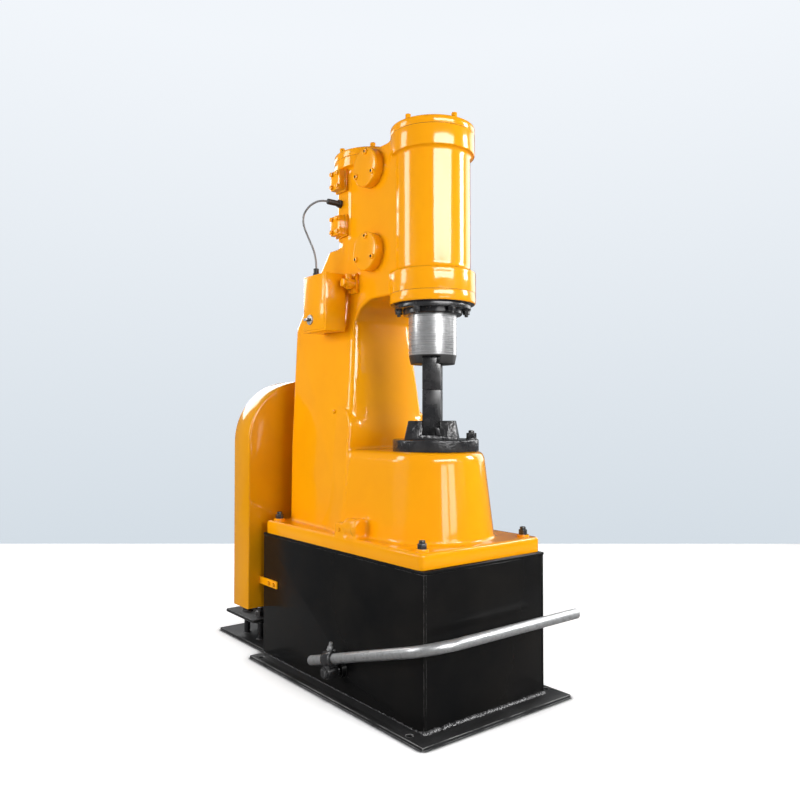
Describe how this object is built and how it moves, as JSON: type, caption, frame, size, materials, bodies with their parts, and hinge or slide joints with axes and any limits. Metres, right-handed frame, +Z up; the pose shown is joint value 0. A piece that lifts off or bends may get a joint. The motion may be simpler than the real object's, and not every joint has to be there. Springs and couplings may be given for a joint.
{
  "type": "power hammer",
  "caption": "Self-contained air power hammer: yellow cast frame with ram and compressor cylinders, dies, foot treadle, belt guard and rear motor on a black welded base box.",
  "frame": {"origin": "on the floor, under the centre of the welded base box", "axes": "+Z up, -Y towards the ram and the front bar of the treadle, +Y towards the belt guard and motor, -X towards the side with the control box"},
  "size_m": [0.5315, 1.2768, 1.555],
  "materials": {
    "yellow_paint": "gloss amber-yellow enamel on cast iron and sheet steel",
    "black_paint": "satin black enamel on welded plate",
    "black_iron": "blackened oily iron",
    "bright_steel": "ground and polished steel",
    "galvanised_steel": "mottled galvanised pipe",
    "black_plastic": "black nylon",
    "grey_cable": "grey cable sheath"
  },
  "bodies": {
    "frame": {"floor_plate": "black_paint", "base_front_wall": "black_paint", "base_rear_wall": "black_paint", "base_left_wall": "black_paint", "base_right_wall": "black_paint", "base_top_plate": "black_paint", "frame_casting": "yellow_paint", "ram_cap": "yellow_paint", "compressor_cap": "yellow_paint", "guide_ring": "yellow_paint", "packing_gland": "black_iron", "lower_die": "black_iron", "lower_wedge": "black_iron", "die_holder": "black_iron", "anvil_plate": "black_iron", "valve_cover_low_left": "yellow_paint", "valve_cover_high_left": "yellow_paint", "valve_cover_low_right": "yellow_paint", "valve_cover_high_right": "yellow_paint", "port_block_low": "yellow_paint", "port_block_high": "yellow_paint", "air_cock": "yellow_paint", "control_box": "yellow_paint", "control_switch": "bright_steel", "control_gland": "black_plastic", "compressor_gland": "black_plastic", "control_cable": "grey_cable", "bearing_cover": "yellow_paint", "belt_guard": "yellow_paint", "guard_strap": "yellow_paint", "motor_floor_plate": "black_paint", "motor_lift_plate": "black_paint", "motor_studs": "black_iron", "motor_body": "black_paint", "motor_fan_cover": "black_paint", "motor_terminal_box": "black_paint"},
    "ram": {"ram": "bright_steel", "upper_die": "black_iron", "upper_wedge": "black_iron"},
    "treadle": {"treadle_pipe": "galvanised_steel", "treadle_clamp": "black_iron", "treadle_shaft": "black_iron"}
  },
  "joints": [
    {"name": "ram_slide", "type": "slide", "parent": "frame", "child": "ram", "axis": [0, 0, 1], "range_m": [0, 0.125]},
    {"name": "treadle_pivot", "type": "hinge", "parent": "frame", "child": "treadle", "pos_m": [-0.25, -0.051, 0.073], "axis": [1, 0, 0], "range_deg": [0, 12], "stiffness_Nm_per_rad": 25, "springref_deg": -20.05}
  ]
}
